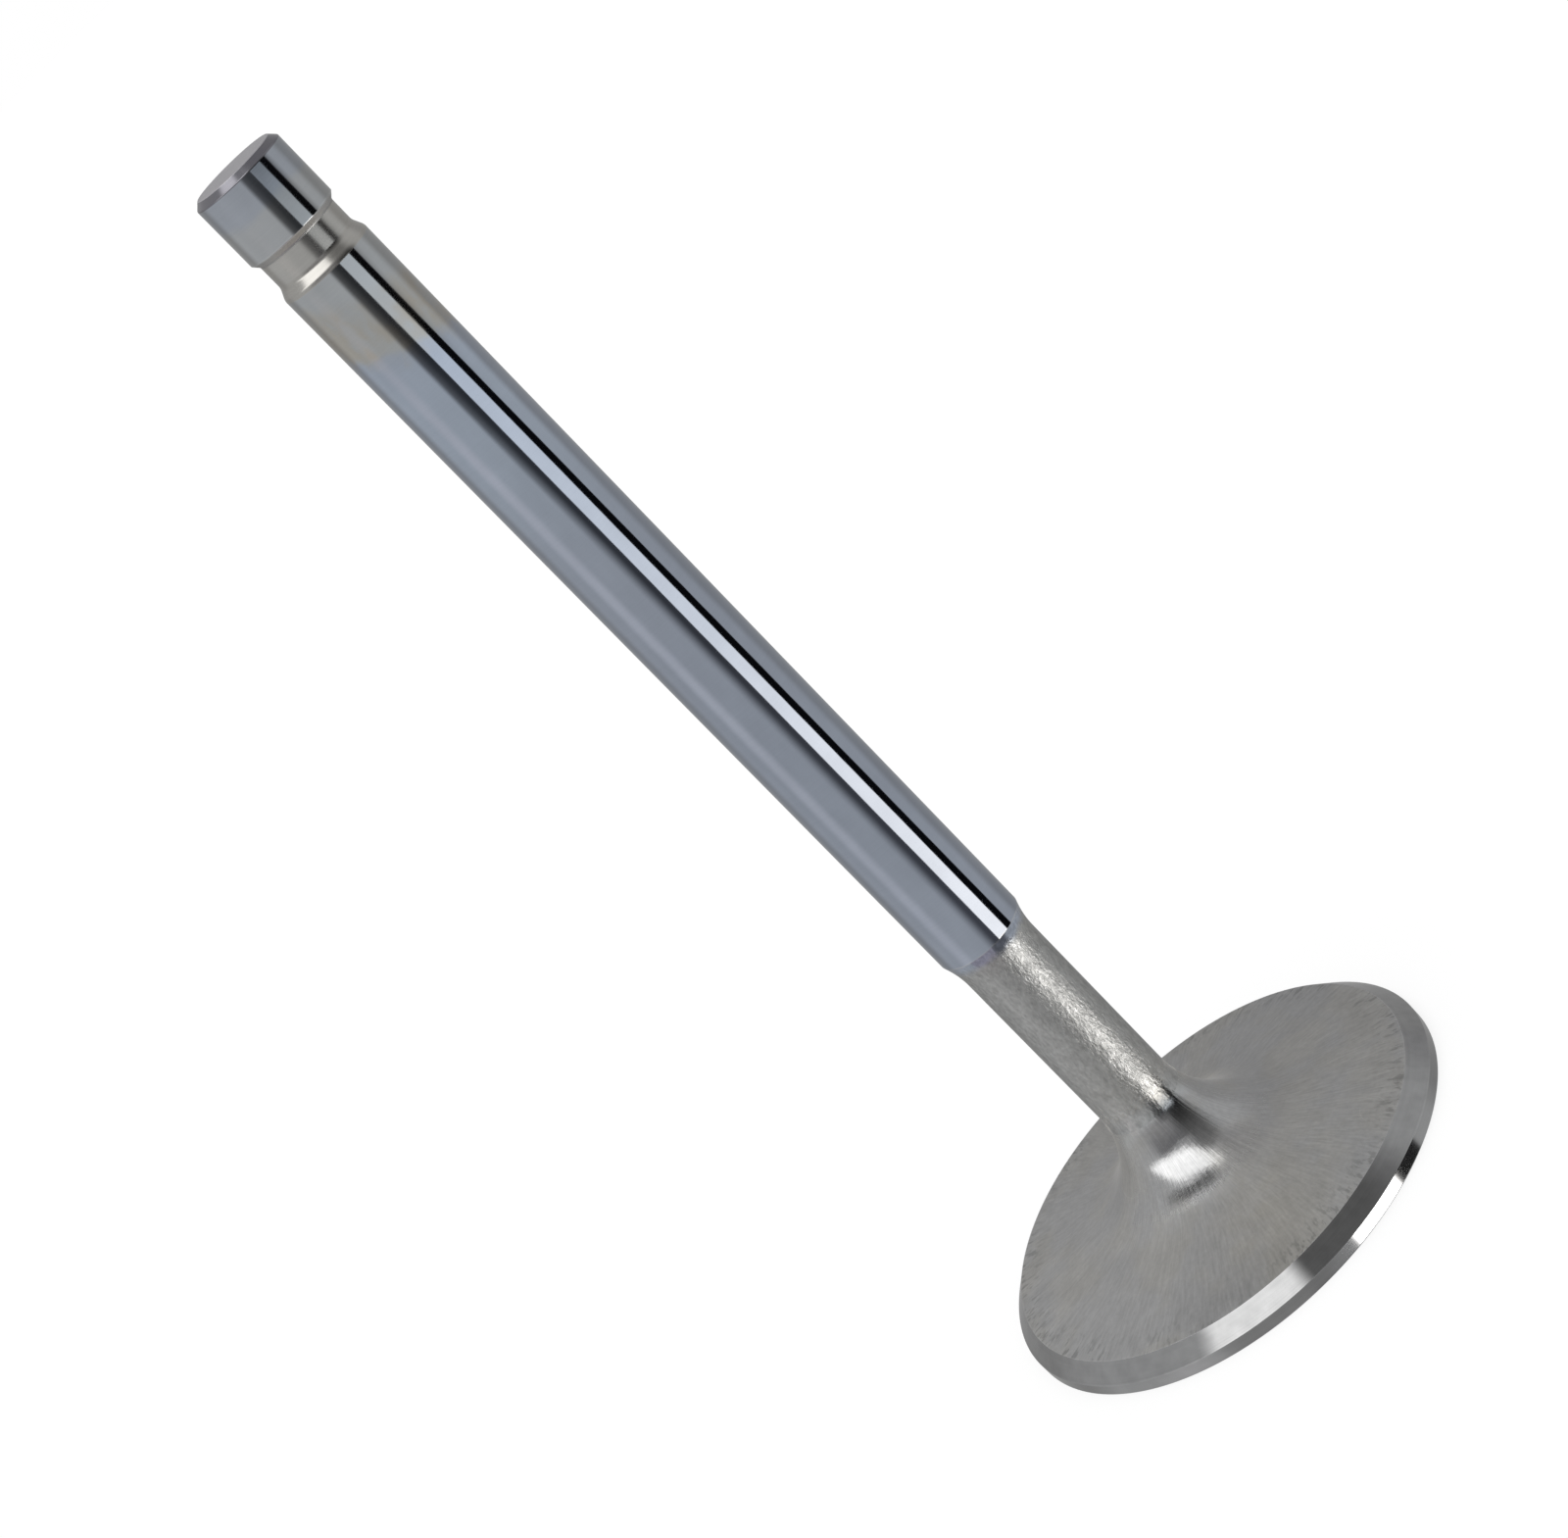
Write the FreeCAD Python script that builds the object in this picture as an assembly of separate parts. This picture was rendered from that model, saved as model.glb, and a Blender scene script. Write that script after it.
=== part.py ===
import FreeCAD, Part
import math
import os

# Engine poppet valve, one turned and ground piece of steel, in millimetres.
# +Z runs up the stem, and the origin is the centre of the flat combustion face.

# Head
head_diameter = 46.1
margin_height = 1.27
seat_width = 1.5
seat_angle = 45.0
underside_angle = 10.0
tulip_radius = 9.5
face_edge_round = 0.15

# Neck, the thinner stretch that stands in the port
neck_diameter = 7.65
neck_end_height = 34.83
neck_ramp_angle = 16.5
neck_ramp_radius = 9.0

# Stem, the ground stretch that runs in the guide
stem_diameter = 8.7
overall_length = 124.9

# Keeper groove and tip
tip_land_length = 6.44
tip_chamfer = 0.6
groove_diameter = 7.77
groove_floor_length = 2.26
groove_shoulder_angle = 42.0
groove_shoulder_round = 0.1
groove_root_fillet = 0.3
groove_ramp_angle = 26.0
groove_ramp_radius = 1.0


def rise(radial_step, angle):
    """Height that a slope takes up while its radius changes, the angle taken from the axis."""
    return radial_step / math.tan(math.radians(angle))


def point(corner):
    """Place of an outline corner in the plane of the axis."""
    return FreeCAD.Vector(corner[0], 0, corner[1])


def rounded_outline(corners):
    """Closed wire through (radius, height, rounding) corners, each rounded by a tangent arc."""
    starts = []
    ends = []
    middles = []
    for index, corner in enumerate(corners):
        here = point(corner)
        before = point(corners[index - 1])
        after = point(corners[(index + 1) % len(corners)])
        inward = (here - before).normalize()
        outward = (after - here).normalize()
        half_turn = inward.getAngle(outward) / 2
        rounding = corner[2]
        reach = rounding * math.tan(half_turn)
        starts.append(here - inward * reach)
        ends.append(here + outward * reach)
        to_centre = (outward - inward).normalize()
        middles.append(here + to_centre * (rounding / math.cos(half_turn) - rounding))
    edges = []
    for index, corner in enumerate(corners):
        if corner[2] > 0:
            edges.append(Part.Arc(starts[index], middles[index], ends[index]).toShape())
        next_start = starts[(index + 1) % len(corners)]
        edges.append(Part.LineSegment(ends[index], next_start).toShape())
    return Part.Wire(edges)


def seat_inner_edge():
    """Radius and height of the edge where the seat face meets the tulip underside."""
    return head_diameter / 2 - seat_width, margin_height + rise(seat_width, seat_angle)


def head_corners():
    """Combustion face, margin and seat face."""
    radius = head_diameter / 2
    inner_radius, inner_height = seat_inner_edge()
    return [
        (0, 0, 0),
        (radius, 0, face_edge_round),
        (radius, margin_height, 0),
        (inner_radius, inner_height, 0),
    ]


def neck_corners():
    """Tulip underside that sweeps into the neck, and the ramp that widens to the stem."""
    inner_radius, inner_height = seat_inner_edge()
    neck_radius = neck_diameter / 2
    underside_slope = math.tan(math.radians(underside_angle))
    underside_apex = inner_height + (inner_radius - neck_radius) * underside_slope
    ramp_rise = rise(stem_diameter / 2 - neck_radius, neck_ramp_angle)
    return [
        (neck_radius, underside_apex, tulip_radius),
        (neck_radius, neck_end_height - ramp_rise, neck_ramp_radius),
        (stem_diameter / 2, neck_end_height, 0),
    ]


def tip_corners():
    """Keeper groove between its shallow ramp and its steep shoulder, then the tip."""
    stem_radius = stem_diameter / 2
    groove_radius = groove_diameter / 2
    groove_depth = stem_radius - groove_radius
    shoulder_edge = overall_length - tip_land_length
    floor_top = shoulder_edge - rise(groove_depth, groove_shoulder_angle)
    floor_bottom = floor_top - groove_floor_length
    ramp_edge = floor_bottom - rise(groove_depth, groove_ramp_angle)
    return [
        (stem_radius, ramp_edge, groove_ramp_radius),
        (groove_radius, floor_bottom, groove_ramp_radius),
        (groove_radius, floor_top, groove_root_fillet),
        (stem_radius, shoulder_edge, groove_shoulder_round),
        (stem_radius, overall_length - tip_chamfer, 0),
        (stem_radius - tip_chamfer, overall_length, 0),
        (0, overall_length, 0),
    ]


def valve():
    """The whole valve, its outline turned once round the axis."""
    outline = rounded_outline(head_corners() + neck_corners() + tip_corners())
    half_section = Part.Face(outline)
    return half_section.revolve(FreeCAD.Vector(0, 0, 0), FreeCAD.Vector(0, 0, 1), 360)


os.makedirs("parts", exist_ok=True)
valve().exportStep("parts/valve.step")
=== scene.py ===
import math

import bmesh
import bpy
from bpy.props import FloatProperty, FloatVectorProperty, IntProperty, PointerProperty
from mathutils import Matrix, Vector


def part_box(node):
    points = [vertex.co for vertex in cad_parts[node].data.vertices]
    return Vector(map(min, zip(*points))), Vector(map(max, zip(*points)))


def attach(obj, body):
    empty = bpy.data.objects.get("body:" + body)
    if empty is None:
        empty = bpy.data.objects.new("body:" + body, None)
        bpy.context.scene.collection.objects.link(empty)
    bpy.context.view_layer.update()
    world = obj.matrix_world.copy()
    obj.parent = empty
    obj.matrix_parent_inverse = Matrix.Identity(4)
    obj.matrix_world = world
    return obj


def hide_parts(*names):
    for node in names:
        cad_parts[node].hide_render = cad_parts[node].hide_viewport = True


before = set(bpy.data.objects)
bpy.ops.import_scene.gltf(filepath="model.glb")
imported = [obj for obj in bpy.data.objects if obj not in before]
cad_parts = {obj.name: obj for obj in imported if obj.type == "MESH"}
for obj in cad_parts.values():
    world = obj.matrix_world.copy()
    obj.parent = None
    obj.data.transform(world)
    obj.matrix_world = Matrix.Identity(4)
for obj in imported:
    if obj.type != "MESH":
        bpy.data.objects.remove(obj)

bl_info = {
    "name": "Engine valve",
    "version": (1, 0, 0),
    "blender": (4, 5, 0),
    "location": "View3D > Sidebar > Valve",
    "description": "Builds a turned and ground engine valve with its finishes and a small studio",
    "category": "Object",
}

NODE = "valve"
BODY = "root"

LOW_CORNER, HIGH_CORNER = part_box(NODE)
HEAD_DIAMETER = HIGH_CORNER[0] - LOW_CORNER[0]
OVERALL_LENGTH = HIGH_CORNER[2] - LOW_CORNER[2]

# Stretches of the outline, each with a finish of its own
FACE, MARGIN, SEAT, TULIP, NECK, STEM, GROOVE, SHOULDER, CHAMFER, TIP = range(10)

# Largest share of a straight run that the bright edge band at one of its ends may take; the band
# is rubbed steel and a painted highlight
WORN_HIGHLIGHT_SHARE = 0.4

# Radii in metres over which the tulip's fillet turns into its cone, and over which the dark
# dashes by the seat begin
CONE_RADII = (0.0056, 0.0114)
DASH_RADII = (0.0175, 0.0214)

# Depth in metres of the relief on the polished stem, and on the brushed neck and tulip
STEM_RELIEF = 0.00000012
BRUSHED_RELIEF = 0.00006


# Property helpers


def length(name, description, default):
    """Property for a size in metres."""
    return FloatProperty(
        name=name, description=description, default=default, min=0.0, subtype="DISTANCE",
        unit="LENGTH", precision=5,
    )


def angle(name, description, degrees):
    """Property for an angle, its default given in degrees."""
    return FloatProperty(
        name=name, description=description, default=math.radians(degrees), subtype="ANGLE",
        unit="ROTATION",
    )


def colour(name, description, default):
    """Property for a linear colour."""
    return FloatVectorProperty(
        name=name, description=description, default=default, size=3, min=0.0, soft_max=1.0,
        subtype="COLOR",
    )


def place(name, description, default):
    """Property for a point in metres."""
    return FloatVectorProperty(
        name=name, description=description, default=default, size=3, subtype="TRANSLATION",
        unit="LENGTH", precision=5,
    )


def share(name, description, default):
    """Property for a plain value between nothing and one."""
    return FloatProperty(
        name=name, description=description, default=default, min=0.0, soft_max=1.0,
        subtype="FACTOR",
    )


def roughness_of(part, default):
    """Property for the roughness of one part."""
    return share(part + " roughness", "Roughness of the " + part.lower(), default)


class ValveSizes(bpy.types.PropertyGroup):
    """Driving sizes of the valve's outline."""

    head_diameter: length("Head diameter", "Outside diameter of the head", HEAD_DIAMETER)
    margin_height: length("Margin", "Height of the straight rim under the seat", 0.00127)
    seat_width: length("Seat width", "Width of the seat measured square to the axis", 0.0015)
    seat_angle: angle("Seat angle", "Slope of the seat from the axis", 45.0)
    underside_angle: angle("Underside angle", "Slope of the tulip from level", 10.0)
    tulip_radius: length("Tulip radius", "Radius that sweeps the head into the neck", 0.0095)
    face_edge_round: length("Face edge", "Rounding of the combustion face's edge", 0.00015)
    neck_diameter: length("Neck diameter", "Diameter of the undercut neck", 0.00765)
    neck_end_height: length("Neck end", "Height at which the neck reaches the stem", 0.03483)
    neck_ramp_angle: angle("Neck ramp angle", "Slope of the neck's ramp from the axis", 16.5)
    neck_ramp_radius: length("Neck ramp radius", "Radius between neck and ramp", 0.009)
    stem_diameter: length("Stem diameter", "Diameter of the ground stem", 0.0087)
    overall_length: length("Overall length", "Combustion face to tip face", OVERALL_LENGTH)
    tip_land_length: length("Tip land", "Groove shoulder to tip face", 0.00644)
    tip_chamfer: length("Tip chamfer", "Chamfer of the tip face's edge", 0.0006)
    groove_diameter: length("Groove diameter", "Diameter of the keeper groove's floor", 0.00777)
    groove_floor_length: length("Groove floor", "Length of the groove's floor", 0.00226)
    groove_shoulder_angle: angle("Shoulder angle", "Slope of the groove's shoulder", 42.0)
    groove_shoulder_round: length("Shoulder edge", "Rounding of the shoulder's edge", 0.0001)
    groove_root_fillet: length("Root fillet", "Fillet at the shoulder's root", 0.0003)
    groove_ramp_angle: angle("Groove ramp angle", "Slope of the groove's ramp", 26.0)
    groove_ramp_radius: length("Groove ramp radius", "Radii of the groove's ramp", 0.001)
    edge_break: length("Edge break", "Rounding left on edges that look sharp", 0.00004)
    # The band beside an edge is lightened: rubbed steel and, in part, a painted highlight
    wear_width: length("Wear width", "Width of the bright wear beside an edge", 0.00012)
    tip_edge_round: length("Tip edges", "Rounding of the tip chamfer's edges", 0.0002)
    finish_line: length("Finish line", "Height where the neck's finish gives way", 0.0121)
    arc_step: angle("Arc step", "Largest turn between two points of an arc", 2.5)
    run_step: length("Run step", "Longest stretch without a ring of points", 0.0025)
    turn_steps: IntProperty(
        name="Turn steps", description="Points in each ring round the axis", default=192, min=12,
    )


class ValveFinishes(bpy.types.PropertyGroup):
    """Colours and heights of the valve's finishes."""

    plating: colour("Plating", "Polished plating of the stem", (0.42, 0.46, 0.535))
    bare_stem: colour("Bare stem", "Ground steel above the plating", (0.465, 0.475, 0.48))
    stain: colour("Stain", "Warm tint where the plating begins", (0.46, 0.42, 0.36))
    hardened: colour("Hardened end", "Blued grey of the hardened end", (0.42, 0.445, 0.485))
    neck: colour("Neck", "Satin steel of the neck", (0.47, 0.47, 0.46))
    tulip: colour("Tulip", "Brushed steel of the tulip", (0.505, 0.505, 0.505))
    haze: colour("Haze", "Warm haze in patches on the tulip", (0.515, 0.508, 0.49))
    seat: colour("Seat", "Ground seat", (0.41, 0.41, 0.41))
    margin: colour("Margin", "Turned margin", (0.43, 0.43, 0.43))
    face: colour("Combustion face", "Turned combustion face", (0.45, 0.45, 0.45))
    groove: colour("Groove", "Ground keeper groove", (0.52, 0.505, 0.475))
    shoulder: colour("Shoulder", "Dull shoulder over the groove", (0.42, 0.415, 0.405))
    # Darker than the steel beside it: painted shade for the dim light that the chamfer mirrors
    chamfer: colour("Chamfer", "Chamfer round the tip", (0.25, 0.245, 0.27))
    tip: colour("Tip", "Hardened tip face", (0.65, 0.635, 0.67))
    # Lighter steel on the edges: rubbed bright, and in part a painted edge highlight
    wear_and_highlight: colour("Worn edge", "Bright steel on the edges", (0.60, 0.60, 0.60))
    plating_top: length("Plating top", "Height where the plating ends near the tip", 0.1063)
    stain_top: length("Stain top", "Upper end of the warm tint", 0.1115)
    stain_bottom: length("Stain bottom", "Lower end of the warm tint", 0.1058)
    hardened_bottom: length("Hardened bottom", "Lower end of the hardened stretch", 0.1215)
    plating_lean: share("Plating lean", "Rise of the plating's end toward +X", 0.34)
    ramp_bottom: length("Ramp bottom", "Height where the neck turns smooth by the stem", 0.0338)
    satin_full: length("Satin full", "Height where the neck's relief is full", 0.017)
    plating_roughness: roughness_of("Plating", 0.06)
    bare_roughness: roughness_of("Bare stem", 0.085)
    neck_roughness: roughness_of("Neck", 0.41)
    ramp_roughness: roughness_of("Neck's ramp", 0.12)
    fillet_roughness: roughness_of("Tulip's fillet", 0.135)
    tulip_roughness: roughness_of("Tulip's cone", 0.40)
    seat_roughness: roughness_of("Seat", 0.085)
    margin_roughness: roughness_of("Margin", 0.10)
    face_roughness: roughness_of("Combustion face", 0.30)
    groove_roughness: roughness_of("Keeper groove", 0.21)
    shoulder_roughness: roughness_of("Shoulder", 0.4)
    chamfer_roughness: roughness_of("Tip's chamfer", 0.16)
    tip_roughness: roughness_of("Tip face", 0.28)


class StudioSettings(bpy.types.PropertyGroup):
    """Camera, floor and light."""

    camera_place: place("Camera", "Place of the camera", (0.0, -0.26647, 0.15232))
    camera_aim: place("Aim", "Point in the middle of the picture", (-0.00211, 0.0, 0.0579))
    camera_roll: angle("Roll", "Turn of the camera about its own axis", -44.47)
    lens: FloatProperty(
        name="Lens", description="Focal length on the sensor", default=77.209, unit="CAMERA",
    )
    sensor: FloatProperty(
        name="Sensor", description="Width of the sensor", default=36.0, unit="CAMERA",
    )
    floor_radius: length("Floor radius", "Radius of the round floor", 3.0)
    tent_radius: length("Tent radius", "Radius of the tent that the steel mirrors", 6.0)
    floor_colour: colour("Floor", "Colour of the floor", (0.95, 0.95, 0.95))
    floor_glow: share("Floor glow", "Share of the floor that stays plain white", 0.8)
    room: colour("Room", "Level of the tent's plain walls", (0.55, 0.555, 0.56))
    world_level: share("World level", "Level of the plain light all round", 0.9)
    sun_level: share("Sun level", "Strength of the soft sun", 0.8)
    sun_spread: angle("Sun spread", "Angle that the soft sun fills", 40.0)


# Outline of the valve


def rise(radial_step, slope):
    """Height that a slope takes up while its radius changes, the slope taken from the axis."""
    return radial_step / math.tan(slope)


def outline_corners(s):
    """Corners of the half section from the face's centre to the tip's, each with its finish."""
    head = s.head_diameter / 2
    seat_inner = head - s.seat_width
    seat_top = s.margin_height + rise(s.seat_width, s.seat_angle)
    neck = s.neck_diameter / 2
    stem = s.stem_diameter / 2
    groove = s.groove_diameter / 2
    apex = seat_top + (seat_inner - neck) * math.tan(s.underside_angle)
    ramp_start = s.neck_end_height - rise(stem - neck, s.neck_ramp_angle)
    shoulder = s.overall_length - s.tip_land_length
    floor_top = shoulder - rise(stem - groove, s.groove_shoulder_angle)
    floor_bottom = floor_top - s.groove_floor_length
    groove_start = floor_bottom - rise(stem - groove, s.groove_ramp_angle)
    fine = s.edge_break
    top = s.overall_length
    return [
        (0.0, 0.0, 0.0, FACE),
        (head, 0.0, s.face_edge_round, MARGIN),
        (head, s.margin_height, fine, SEAT),
        (seat_inner, seat_top, fine, TULIP),
        (neck, apex, s.tulip_radius, NECK),
        (neck, ramp_start, s.neck_ramp_radius, NECK),
        (stem, s.neck_end_height, fine, STEM),
        (stem, groove_start, s.groove_ramp_radius, GROOVE),
        (groove, floor_bottom, s.groove_ramp_radius, GROOVE),
        (groove, floor_top, s.groove_root_fillet, SHOULDER),
        (stem, shoulder, s.groove_shoulder_round, STEM),
        (stem, top - s.tip_chamfer, s.tip_edge_round, CHAMFER),
        (stem - s.tip_chamfer, top, s.tip_edge_round, TIP),
        (0.0, top, 0.0, TIP),
    ]


def arc_points(before, here, after, rounding, step):
    """Points and outward directions of the arc that rounds a corner."""
    inward = (here - before).normalized()
    outward = (after - here).normalized()
    turn = inward.angle_signed(outward, 0.0)
    reach = rounding * math.tan(abs(turn) / 2)
    start = here - inward * reach
    count = max(3, math.ceil(abs(turn) / step))
    side = 1.0 if turn > 0 else -1.0
    first = Vector((inward.y, -inward.x))
    centre = start + first * rounding * side
    points = []
    for index in range(count + 1):
        swing = Matrix.Rotation(-turn * index / count, 2)
        normal = swing @ first
        points.append((centre - normal * rounding * side, normal))
    return points


def outline(s):
    """Points of the outline, each with its normal, its finish from there and its edge mark."""
    corners = outline_corners(s)
    flat = [Vector(corner[:2]) for corner in corners]
    stations = []
    for index, corner in enumerate(corners):
        here = flat[index]
        if corner[2] > 0:
            sharp = 1.0 if corner[2] <= s.groove_shoulder_round else 0.0
            curve = arc_points(flat[index - 1], here, flat[index + 1], corner[2], s.arc_step)
        else:
            sharp = 0.0
            level = Vector((0.0, -1.0)) if index == 0 else Vector((0.0, 1.0))
            curve = [(here, level)]
        stations.append((curve, corner[3], sharp))
    points = []
    for index, (curve, zone, sharp) in enumerate(stations):
        for point, normal in curve:
            points.append((point, normal, zone, sharp))
        if index + 1 < len(stations):
            after = stations[index + 1]
            points.extend(run_points(curve[-1], after[0][0], zone, s, sharp, after[2]))
    return points


def run_points(start, end, zone, s, sharp_start, sharp_end):
    """Points between the two ends of a straight run, some close to ends that carry a band of
    rubbed steel and painted highlight.
    """
    gap = (end[0] - start[0]).length
    pieces = math.ceil(gap / s.run_step)
    stops = {index / pieces for index in range(1, pieces)}
    beside = s.wear_width / gap
    if sharp_start and beside < WORN_HIGHLIGHT_SHARE:
        stops.add(beside)
    if sharp_end and beside < WORN_HIGHLIGHT_SHARE:
        stops.add(1.0 - beside)
    made = []
    for stop in sorted(stops):
        made.append((start[0].lerp(end[0], stop), start[1], zone, 0.0))
    return made


def with_finish_line(points, s):
    """The outline with a ring on the finish line, and the tulip's finish below that line."""
    made = []
    for (point, normal, zone, sharp), after in zip(points, [*points[1:], None]):
        below = zone == NECK and point.y < s.finish_line
        made.append((point, normal, TULIP if below else zone, sharp))
        if below and after[0].y > s.finish_line:
            part = (s.finish_line - point.y) / (after[0].y - point.y)
            between = normal.lerp(after[1], part).normalized()
            made.append((point.lerp(after[0], part), between, NECK, 0.0))
    return made


def valve_mesh(s):
    """The outline turned round the axis, with its exact normals and edge marks."""
    points = with_finish_line(outline(s), s)
    steps = s.turn_steps
    directions = [
        Vector((math.cos(math.tau * k / steps), math.sin(math.tau * k / steps)))
        for k in range(steps)
    ]
    vertices, normals, marks, rings = [], [], [], []
    for point, normal, _, sharp in points:
        on_axis = point.x == 0.0
        ring = []
        for direction in directions[:1] if on_axis else directions:
            ring.append(len(vertices))
            vertices.append((point.x * direction.x, point.x * direction.y, point.y))
            normals.append((normal.x * direction.x, normal.x * direction.y, normal.y))
            marks.append(sharp)
        rings.append(ring)
    faces, finishes = [], []
    for index in range(len(rings) - 1):
        low, high = rings[index], rings[index + 1]
        for k in range(steps):
            ahead = (k + 1) % steps
            if len(low) == 1:
                faces.append((low[0], high[ahead], high[k]))
            elif len(high) == 1:
                faces.append((low[k], low[ahead], high[0]))
            else:
                faces.append((low[k], low[ahead], high[ahead], high[k]))
            finishes.append(points[index][2])
    mesh = bpy.data.meshes.new("valve_steel_body")
    mesh.from_pydata(vertices, [], faces)
    mesh.polygons.foreach_set("material_index", finishes)
    mesh.polygons.foreach_set("use_smooth", [True] * len(faces))
    mesh.attributes.new("edge", "FLOAT", "POINT").data.foreach_set("value", marks)
    mesh.update()
    mesh.normals_split_custom_set_from_vertices(normals)
    return mesh


# Node helpers


def feed(tree, socket, value):
    """Links one socket into another, or sets a plain value."""
    if isinstance(value, bpy.types.NodeSocket):
        tree.links.new(value, socket)
    elif value is not None:
        socket.default_value = value


def add(tree, kind, inputs=None, **settings):
    """A node with its settings and its named or numbered inputs."""
    made = tree.nodes.new(kind)
    for name, value in settings.items():
        setattr(made, name, value)
    for name, value in (inputs or {}).items():
        feed(tree, made.inputs[name], value)
    return made


def maths(tree, operation, first, second=None, third=None):
    """Result of a sum on plain numbers."""
    made = add(tree, "ShaderNodeMath", {0: first, 1: second, 2: third}, operation=operation)
    return made.outputs[0]


def vector_maths(tree, operation, first, second=None, scale=None):
    """Vector result of a sum on vectors."""
    inputs = {0: first, 1: second}
    if scale is not None:
        inputs["Scale"] = scale
    return add(tree, "ShaderNodeVectorMath", inputs, operation=operation).outputs[0]


def split(tree, vector):
    """The three parts of a vector."""
    return add(tree, "ShaderNodeSeparateXYZ", {0: vector}).outputs


def azimuth(tree, parts):
    """Degrees round the axis from the camera's side toward +X, from a direction's parts."""
    away = maths(tree, "MULTIPLY", parts[1], -1.0)
    return maths(tree, "DEGREES", maths(tree, "ARCTAN2", parts[0], away))


def noise(tree, spot, scale, detail, distortion=0.0):
    """Soft noise between nothing and one."""
    inputs = {"Vector": spot, "Scale": scale, "Detail": detail, "Distortion": distortion}
    return add(tree, "ShaderNodeTexNoise", inputs).outputs[0]


def swung(tree, value, source, reach):
    """A value raised and lowered by a source between nothing and one."""
    return maths(tree, "MULTIPLY_ADD", maths(tree, "SUBTRACT", source, 0.5), reach, value)


def ramp(tree, value, low, high, to_low=0.0, to_high=1.0, smooth=True):
    """A value taken from one range to another, held at its ends."""
    made = add(
        tree, "ShaderNodeMapRange",
        {"Value": value, "From Min": low, "From Max": high, "To Min": to_low, "To Max": to_high},
        interpolation_type="SMOOTHSTEP" if smooth else "LINEAR", clamp=True,
    )
    return made.outputs["Result"]


def blend_colour(tree, part, first, second):
    """Mix of two colours."""
    made = add(tree, "ShaderNodeMix", data_type="RGBA", clamp_factor=True)
    feed(tree, made.inputs[0], part)
    for socket, value in ((made.inputs[6], first), (made.inputs[7], second)):
        feed(tree, socket, opaque(value))
    return made.outputs[2]


def opaque(value):
    """A plain colour with its fourth number."""
    if isinstance(value, bpy.types.NodeSocket):
        return value
    return (*value, 1.0)


def new_group(name, inputs, outputs):
    """A shader node group, empty but for what it is given and what it has to make."""
    group = bpy.data.node_groups.new(name, "ShaderNodeTree")
    for label, kind, default in inputs:
        socket = group.interface.new_socket(label, in_out="INPUT", socket_type=kind)
        if default is not None:
            socket.default_value = default
    for label, kind in outputs:
        group.interface.new_socket(label, in_out="OUTPUT", socket_type=kind)
    given = group.nodes.new("NodeGroupInput").outputs
    return group, given, group.nodes.new("NodeGroupOutput").inputs


def use(tree, name, **inputs):
    """A placed node group with its own values, underscores standing for spaces."""
    made = add(tree, "ShaderNodeGroup", node_tree=bpy.data.node_groups[name])
    for label, value in inputs.items():
        feed(tree, made.inputs[label.replace("_", " ")], value)
    return made.outputs


FLOAT, VECTOR, COLOUR = "NodeSocketFloat", "NodeSocketVector", "NodeSocketColor"


# Effects shared by the finishes


def make_valve_coordinates():
    """Height, radius and direction round the axis of the turned piece."""
    tree, _, made = new_group(
        "valve_coordinates", [],
        [("Position", VECTOR), ("Height", FLOAT), ("Radius", FLOAT), ("Direction", VECTOR)],
    )
    position = add(tree, "ShaderNodeTexCoord").outputs["Object"]
    parts = split(tree, position)
    level = add(tree, "ShaderNodeCombineXYZ", {0: parts[0], 1: parts[1]}).outputs[0]
    size = add(tree, "ShaderNodeVectorMath", {0: level}, operation="LENGTH").outputs["Value"]
    feed(tree, made["Position"], position)
    feed(tree, made["Height"], parts[2])
    feed(tree, made["Radius"], size)
    feed(tree, made["Direction"], vector_maths(tree, "NORMALIZE", level))


def wound_noise(tree, direction, cells, along, detail):
    """Noise with so many cells round the axis, and one for each step along."""
    level = vector_maths(tree, "SCALE", direction, scale=cells)
    upward = add(tree, "ShaderNodeCombineXYZ", {2: along}).outputs[0]
    return noise(tree, vector_maths(tree, "ADD", level, upward), 1.0, detail)


def make_ground_lines():
    """Lines left by a wheel or a lathe tool, running round the axis."""
    tree, given, made = new_group(
        "ground_lines",
        [("Along", FLOAT, 0.0), ("Spacing", FLOAT, 0.0001), ("Waver", FLOAT, 0.3)],
        [("Height", FLOAT)],
    )
    place_of = use(tree, "valve_coordinates")
    cells = maths(tree, "DIVIDE", given["Along"], given["Spacing"])
    around = place_of["Direction"]
    feed(tree, made["Height"], wound_noise(tree, around, given["Waver"], cells, 3.0))


def make_radial_strokes():
    """Brush strokes that run out from the neck over the tulip."""
    tree, given, made = new_group(
        "radial_strokes",
        [("Strokes", FLOAT, 60.0), ("Length", FLOAT, 0.004), ("Swirl", FLOAT, 0.0)],
        [("Height", FLOAT)],
    )
    place_of = use(tree, "valve_coordinates")
    outward = maths(tree, "DIVIDE", place_of["Radius"], given["Length"])
    twist = maths(tree, "MULTIPLY", outward, given["Swirl"])
    turned = add(
        tree, "ShaderNodeVectorRotate", {"Vector": place_of["Direction"], "Angle": twist},
        rotation_type="Z_AXIS",
    ).outputs[0]
    feed(tree, made["Height"], wound_noise(tree, turned, given["Strokes"], outward, 4.0))


def make_mottling():
    """Soft patches in a satin finish, at two sizes."""
    tree, given, made = new_group(
        "mottling",
        [("Patch", FLOAT, 0.001), ("Grain", FLOAT, 0.0002), ("Stretch", FLOAT, 1.0)],
        [("Patches", FLOAT), ("Grains", FLOAT)],
    )
    position = use(tree, "valve_coordinates")["Position"]
    stretch = add(tree, "ShaderNodeCombineXYZ", {0: 1.0, 1: 1.0, 2: given["Stretch"]}).outputs[0]
    spot = vector_maths(tree, "MULTIPLY", position, stretch)
    for size, detail, name in (("Patch", 2.0, "Patches"), ("Grain", 3.0, "Grains")):
        scale = maths(tree, "DIVIDE", 1.0, given[size])
        feed(tree, made[name], noise(tree, spot, scale, detail))


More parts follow.
